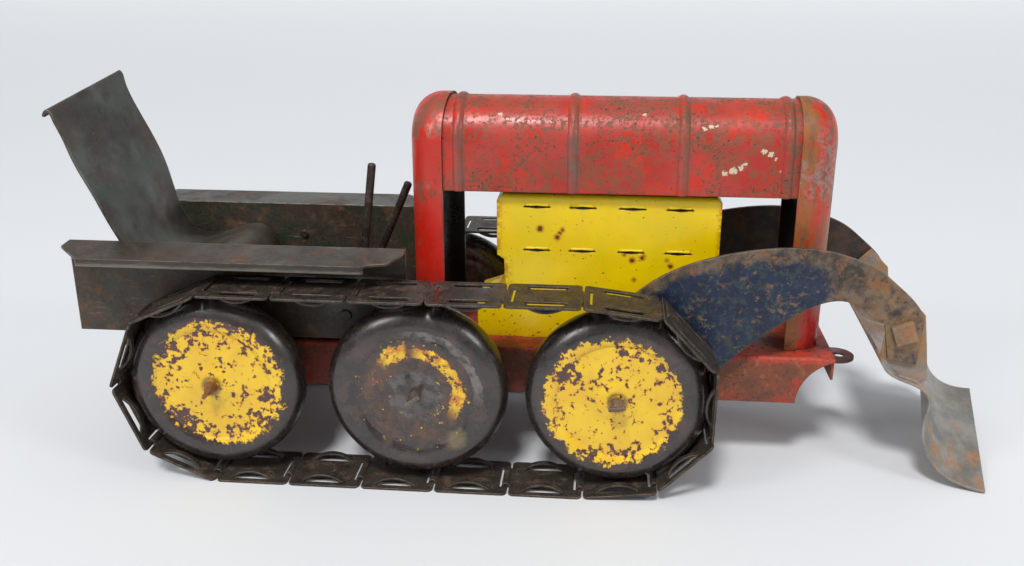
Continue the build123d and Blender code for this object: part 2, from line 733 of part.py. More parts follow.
def make_scoop():
    """Bent scoop sheet with two ears; its left end stands a little further forward."""
    turn = radians(flare_angle)
    right_plane = Plane(origin=(flare_x, -scoop_half_width, 0), x_dir=(cos(turn), -sin(turn), 0),
                        z_dir=(-sin(turn), -cos(turn), 0))
    right_outline = from_middle([
        (190.5, 54.6), (199.2, 45.6), (206.6, 42.9), (210.2, 39.2), (210.0, 32.0), (209.6, 24.0),
        (212.4, 14.2), (218.6, 6.2), (227.4, 1.9), (236.1, 0.4)])
    right_end = [((x - flare_x) / cos(turn), z) for x, z in right_outline]
    left_end = from_middle([
        (192.4, 53.4), (201.4, 45.8), (213.0, 43.4), (222.5, 40.4), (227.6, 34.0), (230.0, 27.0),
        (233.4, 19.0), (240.0, 13.2), (246.0, 11.0), (253.6, 10.2)])
    ear = from_middle([(190.8, 55.5), (192.6, 76.5), (198.2, 82.0), (206.4, 73.6), (208.6, 60.0),
                       (210.6, 45.0), (206.5, 43.6), (199.5, 46.4)])
    with BuildPart() as scoop:
        for plane, section in ((right_plane, right_end), (side_plane(scoop_half_width), left_end)):
            with BuildSketch(plane):
                with BuildLine():
                    sheet_strip(section, sheet)
                make_face()
        loft(ruled=True)
        for side in (-1, 1):
            with BuildSketch(side_plane(side * ear_outer_y)):
                with BuildLine():
                    Polyline(*ear, close=True)
                make_face()
                with Locations((scoop_pivot_x, scoop_pivot_z)):
                    Circle(bolt_radius + running_gap, mode=Mode.SUBTRACT)
            extrude(amount=side * sheet)
    save(scoop, "scoop")


bolt_head = 8.6
bolt_head_height = 2.4
nut_size = 7.4


def make_scoop_bolts():
    """Square-headed bolt outside each arm, with its shank reaching the inner nut."""
    with BuildPart() as bolts:
        for side in (-1, 1):
            outer = side * (arm_inner_y + arm_thickness + 0.1)
            head = Plane(origin=(scoop_pivot_x, outer, scoop_pivot_z), x_dir=(1, 0, 0), z_dir=(0, side, 0))
            with BuildSketch(head):
                Rectangle(bolt_head, bolt_head, rotation=20)
            extrude(amount=bolt_head_height)
            with BuildSketch(head):
                Circle(bolt_radius)
            extrude(amount=-8.0)
    save(bolts, "scoop_bolts")


def make_scoop_nuts():
    with BuildPart() as nuts:
        for side in (-1, 1):
            inner = side * (ear_outer_y - sheet - 0.3)
            seat_plane = Plane(origin=(scoop_pivot_x, inner, scoop_pivot_z), x_dir=(1, 0, 0), z_dir=(0, -side, 0))
            with BuildSketch(seat_plane):
                Rectangle(nut_size, nut_size, rotation=12)
                Circle(bolt_radius + 0.02, mode=Mode.SUBTRACT)
            extrude(amount=2.4)
    save(nuts, "scoop_nuts")


make_chassis()
make_tow_tongue()
make_cowls()
make_hood()
make_engine_block()
make_tub_panels()
make_tub_floor()
make_seat()
make_tub_rivets()
make_lever_pin()
make_levers()
make_axles()
make_axle_spacers()
make_wheels()
make_tracks()
make_arms()
make_scoop()
make_scoop_bolts()
make_scoop_nuts()
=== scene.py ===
"""Visual model of a weathered pressed-steel toy crawler tractor.

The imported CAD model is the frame, and no piece is added to it.  Materials are
painted in the frame's own millimetres: every paint layer, chip, stain and worn
edge is a node pattern.
"""

import math

import bpy
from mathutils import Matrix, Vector


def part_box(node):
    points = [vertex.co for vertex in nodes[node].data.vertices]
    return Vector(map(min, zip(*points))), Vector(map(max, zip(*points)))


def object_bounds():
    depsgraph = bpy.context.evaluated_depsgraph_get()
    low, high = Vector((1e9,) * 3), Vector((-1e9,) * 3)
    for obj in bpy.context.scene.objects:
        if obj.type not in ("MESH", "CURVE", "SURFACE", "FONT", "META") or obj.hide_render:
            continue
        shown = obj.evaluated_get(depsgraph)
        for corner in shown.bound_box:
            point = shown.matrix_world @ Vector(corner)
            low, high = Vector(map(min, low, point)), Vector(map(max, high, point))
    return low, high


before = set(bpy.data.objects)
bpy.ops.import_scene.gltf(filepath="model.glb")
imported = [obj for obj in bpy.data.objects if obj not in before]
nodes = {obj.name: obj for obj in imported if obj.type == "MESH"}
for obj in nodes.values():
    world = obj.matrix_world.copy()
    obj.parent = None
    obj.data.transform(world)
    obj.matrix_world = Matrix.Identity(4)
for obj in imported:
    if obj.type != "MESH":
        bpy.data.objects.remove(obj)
cad_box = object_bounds()
scene = bpy.context.scene

MM = 0.001


def rgb(red, green, blue):
    """Linear colour from 0-255 display values."""
    def linear(value):
        value /= 255
        return value / 12.92 if value <= 0.04045 else ((value + 0.055) / 1.055) ** 2.4
    return linear(red), linear(green), linear(blue), 1.0


def middle_of(node):
    """Middle of a CAD node's box, in millimetres."""
    low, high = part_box(node)
    return (low + high) / 2 / MM


mid_x = (middle_of("axle_front").x + middle_of("axle_rear").x) / 2      # everything along X is told from here


# ------------------------------------------------------------------ camera and studio

camera_data = bpy.data.cameras.new("camera")
camera_data.lens = 36.15
camera_data.sensor_width = 36.0
camera = bpy.data.objects.new("camera", camera_data)
camera.location = ((mid_x + 76.09) * MM, -0.43113, 0.22448)
camera.rotation_euler = (math.radians(90 - 19.54), 0.0, math.radians(5.32))
scene.collection.objects.link(camera)
scene.camera = camera


def area_light(name, place, aim, size, power):
    data = bpy.data.lights.new(name, "AREA")
    data.shape = "RECTANGLE"
    data.size, data.size_y = size
    data.energy = power
    light = bpy.data.objects.new(name, data)
    light.location = place
    direction = light.location - aim
    light.rotation_euler = direction.to_track_quat("Z", "Y").to_euler()
    scene.collection.objects.link(light)


def sun_light(name, strength, angle, tilt):
    data = bpy.data.lights.new(name, "SUN")
    data.energy = strength
    data.angle = math.radians(angle)
    light = bpy.data.objects.new(name, data)
    light.rotation_euler = [math.radians(value) for value in tilt]
    scene.collection.objects.link(light)


def make_studio():
    centre = (cad_box[0] + cad_box[1]) / 2
    mesh = bpy.data.meshes.new("floor")
    # a round dish: flat floor, then a rim that sweeps up on every side
    flat, rise, wall_top, steps, sectors = 3.2, 1.2, 2.2, 10, 64
    turns = [math.pi / 2 * i / steps for i in range(1, steps + 1)]
    profile = [(0.25, 0.0), (flat, 0.0)]
    profile += [(flat + rise * math.sin(turn), rise - rise * math.cos(turn)) for turn in turns]
    profile.append((flat + rise, wall_top))
    points = [(0.0, 0.0, 0.0)]
    points += [(r * math.cos(math.tau * k / sectors), r * math.sin(math.tau * k / sectors), z)
               for r, z in profile for k in range(sectors)]
    faces = [(0, 1 + k, 1 + (k + 1) % sectors) for k in range(sectors)]
    faces += [(1 + ring * sectors + k, 1 + (ring + 1) * sectors + k,
               1 + (ring + 1) * sectors + (k + 1) % sectors, 1 + ring * sectors + (k + 1) % sectors)
              for ring in range(len(profile) - 1) for k in range(sectors)]
    mesh.from_pydata(points, [], faces)
    mesh.polygons.foreach_set("use_smooth", [True] * len(faces))
    floor = bpy.data.objects.new("floor", mesh)
    scene.collection.objects.link(floor)
    material = bpy.data.materials.new("pale_floor")
    material.use_nodes = True
    shader = material.node_tree.nodes["Principled BSDF"]
    shader.inputs["Base Color"].default_value = (0.75, 0.765, 0.785, 1.0)
    shader.inputs["Roughness"].default_value = 0.6
    shader.inputs["Specular IOR Level"].default_value = 0.2
    mesh.materials.append(material)
    area_light("top_box", (0.0, 0.05, 1.0), centre, (0.9, 0.6), 0.5)
    area_light("left_box", (-0.66, -0.62, 0.66), centre, (0.24, 0.24), 2.4)
    area_light("right_box", (0.78, -0.52, 0.66), centre, (0.24, 0.24), 2.2)
    area_light("back_wash", (0.0, 2.8, 2.0), centre + Vector((0.0, 2.3, 0.0)), (4.0, 2.0), 9.0)
    sun_light("key", 2.0, 11, (32, -8, 0))
    world = bpy.data.worlds.new("world")
    world.use_nodes = True
    background = world.node_tree.nodes["Background"]
    background.inputs["Color"].default_value = (0.90, 0.93, 0.97, 1.0)
    background.inputs["Strength"].default_value = 0.31
    scene.world = world
    scene.view_settings.view_transform = "Standard"


make_studio()


# ------------------------------------------------------------------ painting with nodes

class Finish:
    """A material whose patterns are placed in millimetres of the frame at rest."""

    def __init__(self, name):
        self.material = bpy.data.materials.new(name)
        self.material.use_nodes = True
        self.tree = self.material.node_tree
        self.shader = self.tree.nodes["Principled BSDF"]
        texture = self.tree.nodes.new("ShaderNodeTexCoord")
        coordinates = texture.outputs["Object"]
        self.normal = texture.outputs["Normal"]
        scaled = self.tree.nodes.new("ShaderNodeVectorMath")
        scaled.operation = "SCALE"
        scaled.inputs["Scale"].default_value = 1 / MM
        self.tree.links.new(coordinates, scaled.inputs[0])
        self.place = scaled.outputs[0]
        split = self.tree.nodes.new("ShaderNodeSeparateXYZ")
        self.tree.links.new(self.place, split.inputs[0])
        self.x, self.y, self.z = split.outputs
        self.rounded = None

    def feed(self, socket, value):
        """Link a pattern into a socket, or set a plain value on it."""
        if isinstance(value, bpy.types.NodeSocket):
            self.tree.links.new(value, socket)
        else:
            socket.default_value = value

    def math(self, operation, first, second=0.0):
        node = self.tree.nodes.new("ShaderNodeMath")
        node.operation = operation
        self.feed(node.inputs[0], first)
        self.feed(node.inputs[1], second)
        return node.outputs[0]

    def times(self, *values):
        product = values[0]
        for value in values[1:]:
            product = self.math("MULTIPLY", product, value)
        return product

    def either(self, *values):
        largest = values[0]
        for value in values[1:]:
            largest = self.math("MAXIMUM", largest, value)
        return largest

    def without(self, value, hole):
        return self.times(value, self.math("SUBTRACT", 1.0, hole))

    def plus(self, first, second):
        return self.math("ADD", first, second)

    def rise(self, value, start, end, low=0.0, high=1.0):
        """Smooth step: low up to start, high from end."""
        node = self.tree.nodes.new("ShaderNodeMapRange")
        node.interpolation_type = "SMOOTHSTEP"
        self.feed(node.inputs["Value"], value)
        node.inputs["From Min"].default_value = min(start, end)
        node.inputs["From Max"].default_value = max(start, end)
        node.inputs["To Min"].default_value = low if start < end else high
        node.inputs["To Max"].default_value = high if start < end else low
        return node.outputs[0]

    def noise(self, size, detail=3.0, roughness=0.55, stretch=(1, 1, 1), shift=0.0):
        """Noise from 0 to 1 with blotches about size millimetres across."""
        mapping = self.tree.nodes.new("ShaderNodeMapping")
        self.tree.links.new(self.place, mapping.inputs["Vector"])
        mapping.inputs["Location"].default_value = (shift, 1.7 * shift, -shift)
        mapping.inputs["Scale"].default_value = [1 / (size * s) for s in stretch]
        node = self.tree.nodes.new("ShaderNodeTexNoise")
        self.tree.links.new(mapping.outputs[0], node.inputs["Vector"])
        node.inputs["Scale"].default_value = 1.0
        node.inputs["Detail"].default_value = detail
        node.inputs["Roughness"].default_value = roughness
        return node.outputs[0]

    def spots(self, size, at, soft=0.03, detail=3.0, roughness=0.6, stretch=(1, 1, 1), shift=0.0):
        """Ragged spots where the noise is over at."""
        return self.rise(self.noise(size, detail, roughness, stretch, shift), at - soft, at + soft)

    def distance(self, centre):
        node = self.tree.nodes.new("ShaderNodeVectorMath")
        node.operation = "DISTANCE"
        self.tree.links.new(self.place, node.inputs[0])
        node.inputs[1].default_value = centre
        return node.outputs["Value"]

    def blot(self, centre, radius, ragged=3.0, size=2.5, soft=0.3, shift=0.0):
        """One ragged patch about a point."""
        noise = self.noise(size, 4.0, 0.6, shift=shift)
        wobble = self.math("MULTIPLY", self.math("SUBTRACT", noise, 0.5), 4 * ragged)
        return self.rise(self.plus(self.distance(centre), wobble), radius + soft, radius - soft)

    def band(self, value, middle, half_width, soft):
        """1 within half_width of middle, fading over soft."""
        away = self.math("ABSOLUTE", self.math("SUBTRACT", value, middle))
        return self.rise(away, half_width + soft, half_width)

    def edges(self, radius, start=0.02, end=0.2):
        """1 along the sharp edges of the sheet, from the shader's own rounding."""
        bevel = self.tree.nodes.new("ShaderNodeBevel")
        bevel.samples = 6
        bevel.inputs["Radius"].default_value = radius * MM
        self.rounded = bevel.outputs[0]
        normal = self.tree.nodes.new("ShaderNodeNewGeometry").outputs["Normal"]
        dot = self.tree.nodes.new("ShaderNodeVectorMath")
        dot.operation = "DOT_PRODUCT"
        self.tree.links.new(bevel.outputs[0], dot.inputs[0])
        self.tree.links.new(normal, dot.inputs[1])
        return self.rise(self.math("SUBTRACT", 1.0, dot.outputs["Value"]), start, end)

    def facing_in(self, open_x, spring):
        """1 on the hollow side of an arched shell that is open at open_x and springs at that height."""
        outwards = self.tree.nodes.new("ShaderNodeCombineXYZ")
        self.feed(outwards.inputs[0], self.math("SUBTRACT", self.x, open_x))
        self.feed(outwards.inputs[1], self.y)
        self.feed(outwards.inputs[2], self.math("MAXIMUM", self.math("SUBTRACT", self.z, spring), 0.0))
        dot = self.tree.nodes.new("ShaderNodeVectorMath")
        dot.operation = "DOT_PRODUCT"
        self.tree.links.new(outwards.outputs[0], dot.inputs[0])
        self.tree.links.new(self.normal, dot.inputs[1])
        return self.rise(dot.outputs["Value"], -1.0, -2.0)

    def mix(self, mask, under, over):
        """Colour over laid on colour under where mask is 1."""
        node = self.tree.nodes.new("ShaderNodeMix")
        node.data_type = "RGBA"
        factor, first, second = node.inputs["Factor"], node.inputs[6], node.inputs[7]
        self.feed(factor, mask)
        self.feed(first, under)
        self.feed(second, over)
        return node.outputs[2]

    def blend(self, mask, under, over):
        """The same for a plain number such as roughness."""
        node = self.tree.nodes.new("ShaderNodeMix")
        node.data_type = "FLOAT"
        self.feed(node.inputs["Factor"], mask)
        self.feed(node.inputs[2], under)
        self.feed(node.inputs[3], over)
        return node.outputs[0]

    def finish(self, colour, roughness, metallic, height, depth=0.1, strength=0.6):
        """Wire the layers into the shader; depth is the height's full step in millimetres."""
        bump = self.tree.nodes.new("ShaderNodeBump")
        bump.inputs["Strength"].default_value = strength
        bump.inputs["Distance"].default_value = depth * MM
        self.feed(bump.inputs["Height"], height)
        if self.rounded is not None:
            self.tree.links.new(self.rounded, bump.inputs["Normal"])
        self.feed(self.shader.inputs["Base Color"], colour)
        self.feed(self.shader.inputs["Roughness"], roughness)
        self.feed(self.shader.inputs["Metallic"], metallic)
        self.tree.links.new(bump.outputs[0], self.shader.inputs["Normal"])
        return self.material


# ------------------------------------------------------------------ red enamel

hood_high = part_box("hood")[1] / MM
deck_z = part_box("rear_cowl")[0].z / MM + 1.5        # below about this height the cowls are darkened with grime and painted shade; above it the top of the chassis gets painted light

# places along X from the middle of the wheelbase, then Y, Z and radius
HOOD_CHIPS = (
    (115.0, -15.9, 145.0, 1.0), (117.8, -15.6, 145.6, 1.1), (120.0, -15.4, 145.9, 0.8),
    (124.0, -18, 127.0, 1.3), (127.2, -18, 128.2, 1.9), (130.4, -18, 129.6, 1.4),
    (132.0, -18, 131.0, 0.9), (139.2, -18, 136.4, 1.3), (141.8, -18, 135.3, 1.5),
    (144.0, -18, 133.6, 0.8), (146.0, -17.6, 128.0, 0.7), (91.1, -12.7, 149.3, 0.8),
    (32.2, -13.2, 148.8, 1.0))
HOOD_RIBS = ((15.1, 0.7), (62.4, 1.0), (107.3, 0.45), (149.0, 0.3))     # place, and how strong its rubbed wear and painted highlight are


def red_hood():
    f = Finish("red_hood")
    paint = f.mix(f.rise(f.noise(30, 4), 0.40, 0.60), rgb(176, 42, 28), rgb(180, 62, 50))
    paint = f.mix(f.spots(18, 0.58, 0.08, shift=4), paint, rgb(204, 42, 16))
    # patchy dust and a painted reflection of the sky make the hood's crest browner and paler
    crest = f.rise(f.z, hood_high.z - 7, hood_high.z + 1)
    crest_dust_and_reflection = f.times(crest, f.rise(f.noise(12, 5, shift=9), 0.38, 0.60))
    colour = f.mix(f.times(crest_dust_and_reflection, 0.7), paint, rgb(140, 72, 50))
    patches = f.rise(f.noise(26, 4, shift=7), 0.42, 0.62)
    stains = f.rise(f.plus(f.noise(5.0, 6, 0.74, shift=2), f.times(patches, 0.10)), 0.535, 0.635)
    colour = f.mix(f.times(stains, 0.62), colour, rgb(118, 82, 56))
    cluster = f.rise(f.noise(22, 3, shift=11), 0.38, 0.64)
    speckle = f.rise(f.plus(f.noise(1.8, 5, 0.7), f.times(cluster, 0.09)), 0.585, 0.64)
    colour = f.mix(f.times(speckle, 0.8), colour, rgb(98, 76, 50))
    dots = f.rise(f.plus(f.noise(1.1, 3, 0.6, shift=5), f.times(cluster, 0.05)), 0.665, 0.69)
    colour = f.mix(f.times(dots, 0.9), colour, rgb(48, 34, 26))
    rib_wear_and_highlight = 0.0
    for x, bright in HOOD_RIBS:
        # each rib gets rubbed bare steel with a painted highlight in a band at mid-height, and painted shade
        # as a dark brown line along its right side
        rubbed = f.times(f.band(f.x, mid_x + x, 1.4, 2.0), f.spots(6, 0.46, 0.10, 5, 0.7, shift=x))
        colour = f.mix(f.times(f.band(f.x, mid_x + x + 1.5, 0.8, 1.6), 0.55), colour, rgb(104, 72, 52))
        rib_wear_and_highlight = f.either(rib_wear_and_highlight, f.times(rubbed, f.band(f.z, 131.0, 7.0, 11.0), bright))
    colour = f.mix(f.times(rib_wear_and_highlight, 0.5), colour, rgb(140, 122, 114))
    chips = 0.0
    for x, y, z, radius in HOOD_CHIPS:
        chips = f.either(chips, f.blot((mid_x + x, y, z), 0.75 * radius, 1.0, 1.0, 0.12, shift=x))
    colour = f.mix(chips, colour, rgb(206, 192, 164))
    edge = f.edges(0.6)
    edge_rust = f.times(edge, f.rise(f.noise(5, 4, shift=8), 0.38, 0.56))
    colour = f.mix(edge_rust, colour, rgb(104, 62, 42))
    rough = f.blend(f.either(speckle, stains), f.rise(f.noise(12, 4), 0.3, 0.7, 0.28, 0.44), 0.58)
    rough = f.blend(rib_wear_and_highlight, rough, 0.36)
    height = f.plus(f.times(f.noise(16, 2, shift=6), 2.5), f.times(f.either(speckle, chips, dots), -0.5))
    height = f.plus(height, f.times(f.noise(0.9, 2), 0.16))
    return f.finish(colour, rough, f.times(rib_wear_and_highlight, 0.6), height, 0.14, 0.55)


def red_cowl(name, node, is_front):
    f = Finish(name)
    low, high = (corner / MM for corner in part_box(node))
    paint = f.mix(f.rise(f.noise(22, 4), 0.4, 0.62), rgb(198, 30, 14), rgb(190, 50, 36))
    top = f.rise(f.z, hood_high.z - 26, hood_high.z - 2)
    brown = f.rise(f.plus(f.noise(7, 6, 0.74, (1, 1, 2.0), 3), f.times(top, 0.10)), 0.55, 0.64)
    colour = f.mix(f.times(brown, 0.85), paint, rgb(120, 78, 52))
    if is_front:
        strip = f.rise(f.x, low.x + 9.5, low.x + 4.0)
        ochre = f.times(f.either(strip, f.spots(11, 0.56, 0.06, 6, 0.66, (0.8, 1, 2.6), shift=17)),
                        f.rise(f.noise(6, 5, 0.7, (1, 1, 2), 14), 0.36, 0.56))
        colour = f.mix(f.times(ochre, 0.9), colour, rgb(146, 92, 38))
        streak = f.times(f.spots(6, 0.56, 0.06, 5, 0.66, (0.7, 1, 4.0), shift=23), f.rise(f.z, 58, 70))
        colour = f.mix(f.times(streak, 0.8), colour, rgb(108, 80, 58))
    speckle = f.spots(1.7, 0.625, 0.03, 5, 0.7)
    colour = f.mix(f.times(speckle, 0.85), colour, rgb(88, 62, 42))
    # a pale speckled painted highlight, smoother and metallic, in a band across the cowl's upper curve
    bulge_highlight = f.times(f.spots(2.4, 0.50, 0.05, 6, 0.8, shift=5), f.band(f.z, hood_high.z - 24, 8, 12),
                    f.rise(f.noise(20, 3, shift=2), 0.38, 0.5))
    colour = f.mix(f.times(bulge_highlight, 0.75), colour, rgb(160, 142, 132))
    # grime and painted shade darken the cowl's lowest 9 mm, where it stands on the chassis
    foot_grime_and_shade = f.times(f.rise(f.z, deck_z + 9, deck_z), f.rise(f.noise(5, 4, shift=6), 0.36, 0.56))
    colour = f.mix(f.times(foot_grime_and_shade, 0.85), colour, rgb(52, 26, 20))
    edge = f.edges(0.6)
    colour = f.mix(f.times(edge, f.rise(f.noise(5, 4, shift=8), 0.34, 0.52)), colour,
                   rgb(146, 96, 58) if is_front else rgb(110, 66, 44))
    # painted shade: the hollow faces of the cowl are painted near-black and not metallic
    hollow_shade = f.facing_in(low.x if is_front else high.x, high.z - high.y)
    colour = f.mix(hollow_shade, colour, rgb(24, 19, 17))
    rough = f.blend(f.either(brown, speckle), f.rise(f.noise(12, 4), 0.3, 0.7, 0.26, 0.42), 0.58)
    rough = f.blend(bulge_highlight, rough, 0.34)
    height = f.plus(f.times(f.noise(14, 2, shift=6), 2.5), f.times(f.either(speckle, brown), -0.45))
    height = f.plus(height, f.times(f.noise(0.9, 2), 0.16))
    return f.finish(colour, rough, f.without(f.times(bulge_highlight, 0.6), hollow_shade), height, 0.14, 0.55)


def red_chassis(name):
    f = Finish(name)
    paint = f.mix(f.rise(f.noise(24, 5), 0.38, 0.62), rgb(142, 60, 38), rgb(122, 68, 46))
    paint = f.mix(f.spots(16, 0.56, 0.08, 5, 0.65, shift=6), paint, rgb(158, 54, 32))
    # painted light: patches on the top of the chassis are painted a brighter red than its shaded sides
    lit_deck = f.rise(f.z, deck_z - 1.6, deck_z - 0.4)
    colour = f.mix(f.times(lit_deck, f.rise(f.noise(10, 4, shift=4), 0.34, 0.50)), paint, rgb(178, 58, 40))
    ochre = f.spots(3.0, 0.57, 0.04, 6, 0.75, (1, 1, 1.6), shift=12)
    colour = f.mix(f.times(ochre, 0.55), colour, rgb(162, 108, 64))
    dark = f.spots(2.2, 0.585, 0.04, 5, 0.72, shift=19)
    colour = f.mix(f.times(dark, 0.75), colour, rgb(70, 42, 32))
    grime = f.times(f.rise(f.noise(12, 5, 0.7, shift=31), 0.46, 0.64), 0.6)
    colour = f.mix(grime, colour, rgb(88, 56, 40))
    edge = f.edges(0.6)
    worn = f.times(edge, f.rise(f.noise(6, 4, shift=8), 0.40, 0.58))
    colour = f.mix(worn, colour, rgb(128, 96, 72))
    rough = f.blend(f.either(dark, ochre), f.rise(f.noise(10, 4), 0.3, 0.7, 0.42, 0.60), 0.72)
    height = f.plus(f.times(f.noise(18, 2, shift=6), 2.2), f.times(f.either(dark, ochre), -0.4))
    height = f.plus(height, f.times(f.noise(1.0, 3, 0.7), 0.3))
    return f.finish(colour, rough, f.times(worn, 0.4), height, 0.14, 0.6)


# ------------------------------------------------------------------ yellow enamel

# places along X from the middle of the wheelbase; the spots then have Z and radius
LOUVRES_X, LOUVRES_Z = (47.8, 67.1, 87.8, 107.5), (91.0, 110.0)
ENGINE_SPOTS = (
    (49.2, 100.6, 1.1), (56.5, 97.0, 0.9), (57.6, 98.8, 0.6), (58.6, 100.2, 0.5),
    (88.4, 87.6, 0.9), (92.5, 88.8, 0.7), (93.4, 89.6, 0.4), (104.6, 85.4, 0.8),
    (103.0, 88.0, 0.4), (85.0, 90.0, 0.4), (89.5, 79.0, 0.5))


def yellow_engine():
    f = Finish("yellow_engine")
    low, high = (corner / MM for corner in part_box("engine_block"))
    paint = f.mix(f.rise(f.noise(26, 4), 0.38, 0.62), rgb(244, 208, 0), rgb(238, 198, 0))
    faded = f.times(f.spots(15, 0.56, 0.10, 4, 0.6, (1, 1, 1.8), shift=5), 0.5)
    colour = f.mix(faded, paint, rgb(226, 200, 8))
    slits = 0.0
    for x in LOUVRES_X:
        for z in LOUVRES_Z:
            away = f.math("ABSOLUTE", f.math("SUBTRACT", f.x, mid_x + x))
            drop = f.math("ABSOLUTE", f.math("SUBTRACT", f.z, z))
            lens = f.plus(f.times(drop, 8.0), f.plus(away, f.times(f.noise(1.4, 4, 0.7, shift=x + z), 3.0)))
            slits = f.either(slits, f.rise(lens, 8.4, 6.8))
    near_slits = f.band(f.z, 89.0, 2.5, 4.0)
    bottom = f.rise(f.z, 69.0, 60.0)
    grain = f.plus(f.noise(1.5, 3, 0.55, shift=3), f.plus(f.times(near_slits, 0.02), f.times(bottom, 0.055)))
    pits = f.rise(grain, 0.705, 0.72)
    halo = f.rise(grain, 0.675, 0.71)
    for x, z, radius in ENGINE_SPOTS:
        spot = f.distance((mid_x + x, low.y, z))
        spot = f.plus(spot, f.times(f.noise(1.0, 3, 0.6, shift=x), 1.2))
        pits = f.either(pits, f.rise(spot, radius + 0.75, radius + 0.45))
        halo = f.either(halo, f.rise(spot, radius + 1.9, radius + 0.7))
    colour = f.mix(f.times(halo, 0.8), colour, rgb(186, 112, 4))
    colour = f.mix(f.times(pits, 0.92), colour, rgb(70, 36, 14))
    # an orange-brown stain rings each louvre slit, and the slit is painted near-black as the shade within it
    colour = f.mix(f.times(f.rise(slits, 0.0, 0.5), 0.8), colour, rgb(150, 86, 10))
    colour = f.mix(f.rise(slits, 0.35, 0.8), colour, rgb(38, 22, 12))
    rim = f.either(f.times(f.rise(f.x, low.x + 12, low.x + 8.6), f.rise(f.z, 82, 86)),
                   f.times(f.rise(f.x, low.x + 16.5, low.x + 12.6), f.rise(f.z, 66, 70), f.rise(f.z, 90, 85)))
    rim = f.either(rim, f.rise(f.x, high.x - 9, high.x - 6))
    rim = f.times(rim, f.spots(3.0, 0.50, 0.06, 5, 0.7, shift=27))
    colour = f.mix(f.times(rim, 0.75), colour, rgb(180, 98, 6))
    edge = f.edges(0.6)
    worn = f.times(edge, f.rise(f.noise(3, 4, shift=8), 0.44, 0.56))
    colour = f.mix(f.times(worn, 0.85), colour, rgb(126, 72, 18))
    base = f.rise(f.z, low.z + 3.5, low.z + 1.6)
    colour = f.mix(f.times(base, 0.8, f.rise(f.noise(5, 4, shift=2), 0.3, 0.5)), colour, rgb(70, 40, 20))
    rough = f.blend(f.either(pits, halo), f.rise(f.noise(12, 4), 0.3, 0.7, 0.24, 0.38), 0.60)
    height = f.plus(f.times(f.noise(16, 2, shift=6), 2.6), f.times(f.either(pits, slits), -0.6))
    height = f.plus(height, f.times(f.noise(0.8, 2), 0.12))
    return f.finish(colour, rough, 0.0, height, 0.14, 0.55)


# ------------------------------------------------------------------ dark olive sheet

def olive_sheet(name, green=0.56, rust=0.58, light=(66, 60, 52), coarse=1.0):
    f = Finish(name)
    base = f.mix(f.rise(f.noise(34, 5, 0.6), 0.38, 0.62), rgb(42, 38, 33), rgb(*light))
    base = f.mix(f.times(f.spots(20, 0.54, 0.10, 5, 0.62, shift=9), 0.7), base, rgb(70, 52, 40))
    enamel = f.spots(24, green, 0.06, 6, 0.66, shift=15)
    colour = f.mix(f.times(enamel, 0.85), base, rgb(30, 48, 34))
    rusty = f.times(f.spots(7, rust, 0.07, 6, 0.72, shift=21), f.spots(30, 0.45, 0.10, shift=2))
    colour = f.mix(f.times(rusty, 0.6), colour, rgb(110, 72, 46))
    grain = f.rise(f.noise(1.5, 5, 0.75, shift=4), 0.35, 0.68)
    colour = f.mix(f.times(grain, 0.26 * coarse), colour, rgb(112, 94, 78))
    scratches = f.spots(1.0, 0.66, 0.03, 3, 0.6, (14, 1, 1.2), shift=6)
    scratches = f.times(scratches, f.spots(30, 0.5, 0.10, shift=12))
    colour = f.mix(f.times(scratches, 0.5), colour, rgb(132, 122, 108))
    edge = f.edges(0.8, 0.03, 0.25)
    bright = f.times(edge, f.rise(f.noise(6, 4, shift=8), 0.36, 0.54))
    colour = f.mix(f.times(bright, 0.85), colour, rgb(168, 160, 146))
    if name.startswith("olive_panel"):
        # the fender's turned-down lip is rubbed bright along its lower part
        outer_y = -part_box("tub_panel_right")[0].y / MM
        lip = f.rise(f.math("ABSOLUTE", f.y), outer_y - 1.3, outer_y - 0.9)
        rubbed = f.times(lip, f.rise(f.plus(f.z, f.times(f.noise(5, 5, 0.7, (3, 1, 1), 3), 3.0)), 94.6, 92.6))
        colour = f.mix(f.times(lip, 0.6), colour, rgb(58, 53, 47))
        colour = f.mix(f.times(rubbed, 0.75), colour, rgb(132, 126, 116))
        bright = f.either(bright, rubbed)
    metal = f.either(f.without(f.times(0.55, f.math("SUBTRACT", 1.0, enamel)), rusty), bright)
    rough = f.blend(rusty, f.rise(f.noise(14, 5, 0.65, shift=1), 0.34, 0.66, 0.36, 0.55), 0.72)
    rough = f.blend(enamel, rough, 0.34)
    height = f.plus(f.times(f.noise(22, 2, shift=6), 3.0), f.times(enamel, 0.35))
    height = f.plus(height, f.times(f.noise(1.1, 4, 0.75), 0.35 * coarse))
    return f.finish(colour, rough, f.times(metal, 0.45), height, 0.14, 0.55)


# ------------------------------------------------------------------ navy arms

